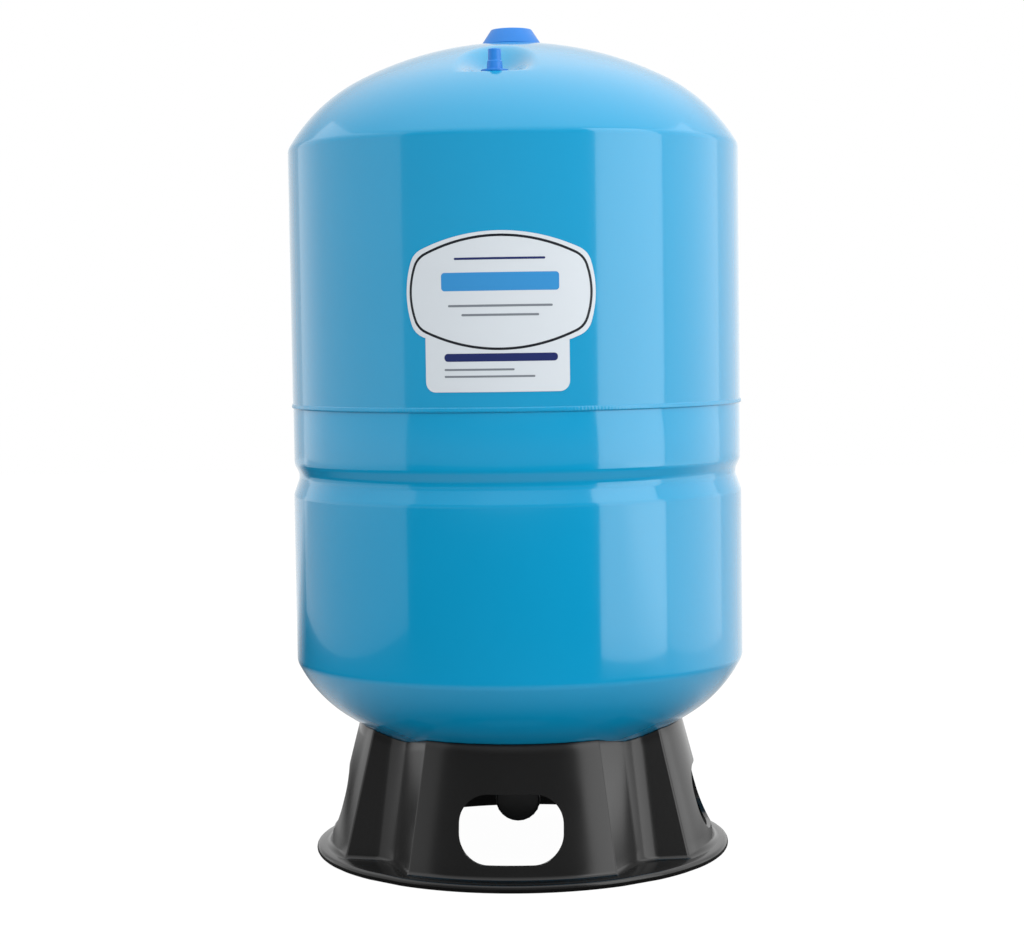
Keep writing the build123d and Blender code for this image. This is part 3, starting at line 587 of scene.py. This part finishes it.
def bow(start, end, sag):
    """Arc between two points that swells to its left by `sag`: a straight line plus sag * 4t(1 - t)."""
    start, end = np.array(start, float), np.array(end, float)
    t = np.linspace(0, 1, 60, endpoint=False)[:, None]
    side = np.array([start[1] - end[1], end[0] - start[0]])
    return start + (end - start) * t + side / np.linalg.norm(side) * sag * 4 * t * (1 - t)


def badge(inset):
    """Closed badge of four bowed edges, clockwise from the lower left.

    The points are spaced evenly along the edges, and each is then the mean of those
    within 8 mm of it, which rounds the corners.
    """
    s, low, high = BADGE_SIDE - inset, BADGE_LOW + inset, LABEL_HIGH - BADGE_BOW - inset
    corners = [(-s, low), (-s, high), (s, high), (s, low), (-s, low)]
    sags = [BADGE_SWELL, BADGE_BOW, BADGE_SWELL, BADGE_BOW]
    line = np.concatenate([bow(a, b, sag) for a, b, sag in zip(corners, corners[1:], sags)])
    closed = np.concatenate([line, line[:1]])
    along = np.concatenate([[0], np.cumsum(np.hypot(*np.diff(closed, axis=0).T))])
    at = np.linspace(0, along[-1], 400, endpoint=False)
    even = np.stack([np.interp(at, along, closed[:, 0]), np.interp(at, along, closed[:, 1])], 1)
    reach = round(8 / (along[-1] / 400))
    return np.mean([np.roll(even, shift, 0) for shift in range(-reach, reach + 1)], 0)


def label_outline():
    """Badge over a tab with rounded lower corners, clockwise from where the tab's left side meets the badge."""
    line = np.roll(badge(0), 60, 0)
    free = (line[:, 0] < TAB_LEFT) | (line[:, 0] > TAB_RIGHT) | (line[:, 1] > (BADGE_LOW + LABEL_HIGH) / 2)
    line = line[free]
    tab = rounded(
        [(TAB_RIGHT, line[-1, 1]), (TAB_RIGHT, LABEL_LOW), (TAB_LEFT, LABEL_LOW), (TAB_LEFT, line[0, 1])], [9, 9], 9
    )
    return np.concatenate([line, tab])


def wrapped(u, z, radius):
    """Place flat label points (arc length, height) on a cylinder."""
    turn = np.asarray(u) / UPPER_R
    return np.stack([radius * np.sin(turn), -radius * np.cos(turn), np.asarray(z) + 0 * turn], -1)


def film(name, outline, radius, thickness, material, node=None):
    """Thin sheet bounded by an outline, wrapped on the tank.

    Each row runs along one height from the outline's left side to its right side on the
    front face and returns on the back face, `thickness` nearer the axis. The first and
    the last row are pressed to one line, which closes the ends.
    """
    outline = np.concatenate([outline, outline[:1]])
    low, high = outline[:, 1].min() + 1e-3, outline[:, 1].max() - 1e-3
    levels = np.unique(np.concatenate([np.linspace(low, high, 70), outline[:, 1].clip(low, high)]).round(4))
    a, b = outline[:-1], outline[1:]
    ends = []
    for level in levels:
        crossing = (a[:, 1] - level) * (b[:, 1] - level) <= 0
        p, q = a[crossing], b[crossing]
        rise = np.where(np.abs(q[:, 1] - p[:, 1]) < 1e-9, 1, q[:, 1] - p[:, 1])
        at = p[:, 0] + (q[:, 0] - p[:, 0]) * np.clip((level - p[:, 1]) / rise, 0, 1)
        ends.append((at.min(), at.max()))
    ends = np.array(ends)
    share = np.linspace(0, 1, 60)
    u = ends[:, :1] + (ends[:, 1:] - ends[:, :1]) * share
    front = wrapped(u, levels[:, None], radius)
    back = wrapped(u, levels[:, None], radius - thickness)
    rows = np.concatenate([front, back[:, ::-1]], 1)
    edge = wrapped(u[[0, -1]], levels[[0, -1], None], radius - thickness / 2)
    edge = np.concatenate([edge, edge[:, ::-1]], 1)
    sheet = skin(name, np.concatenate([edge[:1], rows, edge[1:]]), (True, False), 60)
    return dress(sheet, material, node)


FILM_R = UPPER_R + 0.45
INK_R = UPPER_R + 0.5
film("label_sheet", label_outline(), FILM_R, 0.3, label_film, "label")


def ribbon(name, line, width, material):
    """Printed line of one width along a closed path on the label, thick enough to lie on the film."""
    step = np.roll(line, -1, 0) - np.roll(line, 1, 0)
    side = np.stack([step[:, 1], -step[:, 0]], 1) / np.linalg.norm(step, axis=1, keepdims=True)
    a, b = line + side * width / 2, line - side * width / 2
    sides = ((a, INK_R), (b, INK_R), (b, FILM_R - 0.1), (a, FILM_R - 0.1))
    grid = np.stack([wrapped(*edge.T, radius) for edge, radius in sides])
    return dress(skin(name, grid, (True, True), 60), material)


def bar(name, left, right, low, high, corner, material):
    """Printed block with rounded ends."""
    middle = (left + right) / 2
    outline = rounded(
        [(middle, high), (right, high), (right, low), (left, low), (left, high), (middle, high)], [corner] * 4, 9
    )[:-1]
    return film(name, outline, INK_R, 0.15, material)


ribbon("print_ring", badge(4.0), 2.2, ink_black)
bar("print_band", -52, 52, 536, 552, 3, ink_blue)
bar("print_rule_1", -40, 40, 563, 565, 0.9, ink_navy)
bar("print_rule_2", -46, 46, 522, 524, 0.9, ink_grey)
bar("print_rule_3", -34, 34, 514, 516, 0.9, ink_grey)
bar("print_tab_bar", -50, 50, 474.5, 481.5, 3.2, ink_navy)
bar("print_tab_rule_1", -50, 12, 466.5, 468.3, 0.8, ink_grey)
bar("print_tab_rule_2", -50, 30, 460.5, 462.3, 0.8, ink_grey)

# Materials of the carried-over CAD nodes
for names, material in (
    (("top_weld",), enamel),
    (("top_boss", "top_plug", "valve_boss", "clench_ring", "base_studs", "base_washers", "base_nuts"), zinc),
    (("port_coupling", "coupling_weld", "water_elbow", "elbow_weld"), stainless),
    (("air_valve", "valve_core", "core_pin"), brass),
    (("diaphragm", "port_gasket", "plug_seal"), butyl),
    (("diffuser",), plug_plastic),
):
    for name in names:
        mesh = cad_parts[name].data
        mesh.materials.clear()
        mesh.materials.append(material)

# Camera
c, s = cos(CAMERA_PITCH), sin(CAMERA_PITCH)
forward = Vector((sin(CAMERA_YAW) * c, cos(CAMERA_YAW) * c, -s))
right = Vector((cos(CAMERA_YAW), -sin(CAMERA_YAW), 0))
upward = right.cross(forward)
rolled_right = right * cos(CAMERA_ROLL) + upward * sin(CAMERA_ROLL)
rolled_up = upward * cos(CAMERA_ROLL) - right * sin(CAMERA_ROLL)
turn = Matrix.Rotation(CAMERA_TURN, 4, "Z")
camera_data = bpy.data.cameras.new("camera")
camera_data.sensor_width = 36
camera_data.lens = CAMERA_LENS
camera = bpy.data.objects.new("camera", camera_data)
bpy.context.scene.collection.objects.link(camera)
axes = Matrix((rolled_right, rolled_up, -forward)).transposed().to_4x4()
axes.translation = Vector((0, -CAMERA_FAR, CAMERA_HIGH))
camera.matrix_world = turn @ axes
bpy.context.scene.camera = camera


# Studio


def softbox(name, azimuth, distance, height, size, radiance, tilt=0.0, mirrored=True):
    """Rectangular lamp that faces the tank; its power is radiance * pi * area.

    One that isn't mirrored gives soft light but no reflection.
    """
    lamp = bpy.data.lights.new(name, "AREA")
    lamp.shape = "RECTANGLE"
    lamp.size, lamp.size_y = size
    lamp.energy = radiance * pi * size[0] * size[1]
    holder = bpy.data.objects.new(name, lamp)
    bpy.context.scene.collection.objects.link(holder)
    turn = radians(azimuth)
    holder.location = (distance * sin(turn), -distance * cos(turn), height)
    holder.rotation_euler = (radians(90 - tilt), 0, turn)
    holder.visible_camera = False
    holder.visible_glossy = mirrored
    return holder


softbox("softbox_right", 60, 1.6, 0.9, (1.05, 2.2), 2.2)
softbox("softbox_side", 101, 1.6, 0.9, (1.25, 2.2), 0.65)
softbox("softbox_left", -91, 1.6, 0.9, (2.7, 2.2), 0.6)
softbox("softbox_top", 0, 0.0, 2.3, (3.4, 3.0), 0.95, 90, False)
softbox("fill_front", 5, 2.6, 2.3, (2.4, 1.8), 3.0, 38, False)

world = bpy.data.worlds.new("studio")
bpy.context.scene.world = world
world.use_nodes = True
tree = world.node_tree
tree.nodes.clear()
path = add(tree, "ShaderNodeLightPath").outputs
aim = add(tree, "ShaderNodeTexCoord").outputs["Generated"]
behind = add(tree, "ShaderNodeVectorMath", {1: (0.5, 0.87, 0)}, {0: aim}, operation="DOT_PRODUCT").outputs["Value"]
height = add(tree, "ShaderNodeSeparateXYZ", wires={0: aim}).outputs["Z"]
# seen in the enamel: a dim room in front with a paler horizon, a white backdrop, a bright ceiling
backdrop, horizon, ceiling = (
    add(
        tree,
        "ShaderNodeMapRange",
        {"From Min": low, "From Max": high, "To Min": at_low, "To Max": at_high},
        {"Value": source},
    ).outputs[0]
    for source, low, high, at_low, at_high in (
        (behind, -0.2, 0.9, 0.23, 0.95), (height, 0.08, 0.28, 0.15, 0.0), (height, 0.4, 1.0, 0.0, 1.3),
    )
)
seen = add(tree, "ShaderNodeMath", wires={0: backdrop, 1: horizon}, operation="ADD").outputs[0]
seen = add(tree, "ShaderNodeMath", wires={0: seen, 1: ceiling}, operation="ADD").outputs[0]
room = add(tree, "ShaderNodeBackground", {"Color": (1, 1, 1, 1), "Strength": 0.47})
mirrored = add(tree, "ShaderNodeBackground", {"Color": (1, 1, 1, 1)}, {"Strength": seen})
white = add(tree, "ShaderNodeBackground", {"Color": (1, 1, 1, 1), "Strength": 1.0})
part = add(
    tree, "ShaderNodeMixShader", wires={0: path["Is Glossy Ray"], 1: room.outputs[0], 2: mirrored.outputs[0]}
)
whole = add(tree, "ShaderNodeMixShader", wires={0: path["Is Camera Ray"], 1: part.outputs[0], 2: white.outputs[0]})
add(tree, "ShaderNodeOutputWorld", wires={"Surface": whole.outputs[0]})

floor_mesh = bpy.data.meshes.new("floor")
side = 6.0
floor_mesh.from_pydata([(-side, -side, 0), (side, -side, 0), (side, side, 0), (-side, side, 0)], [], [(0, 1, 2, 3)])
floor = bpy.data.objects.new("floor", floor_mesh)
bpy.context.scene.collection.objects.link(floor)
paper = bpy.data.materials.new("matt_paper_floor_painted_glow")
paper.use_nodes = True
tree = paper.node_tree
tree.nodes.clear()
path = add(tree, "ShaderNodeLightPath").outputs
spot = add(tree, "ShaderNodeTexCoord").outputs["Object"]
away = add(tree, "ShaderNodeVectorMath", wires={0: spot}, operation="LENGTH").outputs["Value"]
behind = add(tree, "ShaderNodeVectorMath", {1: (0.6, 0.8, 0)}, {0: spot}, operation="DOT_PRODUCT").outputs["Value"]
# painted reflection: to glossy rays the floor glows in a painted pattern, with a painted shadow dark under the tank,
# pale round it and behind it, dim further out in front
near = add(
    tree, "ShaderNodeMapRange", {"From Min": 0.45, "From Max": 0.9, "To Min": 0.6, "To Max": 0.04}, {"Value": away}
).outputs[0]
# painted shadow under the tank, seen only in reflections
under = add(
    tree, "ShaderNodeMapRange", {"From Min": 0.2, "From Max": 0.35, "To Min": 0.05, "To Max": 0.6}, {"Value": away}
).outputs[0]
near = add(tree, "ShaderNodeMath", wires={0: near, 1: under}, operation="MINIMUM").outputs[0]
back = add(
    tree, "ShaderNodeMapRange", {"From Min": 0.1, "From Max": 0.9, "To Min": 0.0, "To Max": 1.0}, {"Value": behind}
).outputs[0]
pale = add(tree, "ShaderNodeMath", wires={0: near, 1: back}, operation="MAXIMUM").outputs[0]
shade = add(tree, "ShaderNodeBsdfDiffuse", {"Color": (0.56, 0.56, 0.56, 1)})
glow = add(tree, "ShaderNodeEmission", {"Color": (1, 1, 1, 1), "Strength": 1.09})
# painted glow of the floor, seen only in reflections in place of the lit floor
mirrored = add(tree, "ShaderNodeEmission", {"Color": (1, 1, 1, 1)}, {"Strength": pale})
part = add(tree, "ShaderNodeMixShader", wires={0: path["Is Glossy Ray"], 1: shade.outputs[0], 2: mirrored.outputs[0]})
share = add(tree, "ShaderNodeMath", {1: 0.9}, {0: path["Is Camera Ray"]}, operation="MULTIPLY").outputs[0]
whole = add(tree, "ShaderNodeMixShader", wires={0: share, 1: part.outputs[0], 2: glow.outputs[0]})
add(tree, "ShaderNodeOutputMaterial", wires={"Surface": whole.outputs[0]})
floor_mesh.materials.append(paper)

bpy.context.scene.view_settings.view_transform = "Standard"
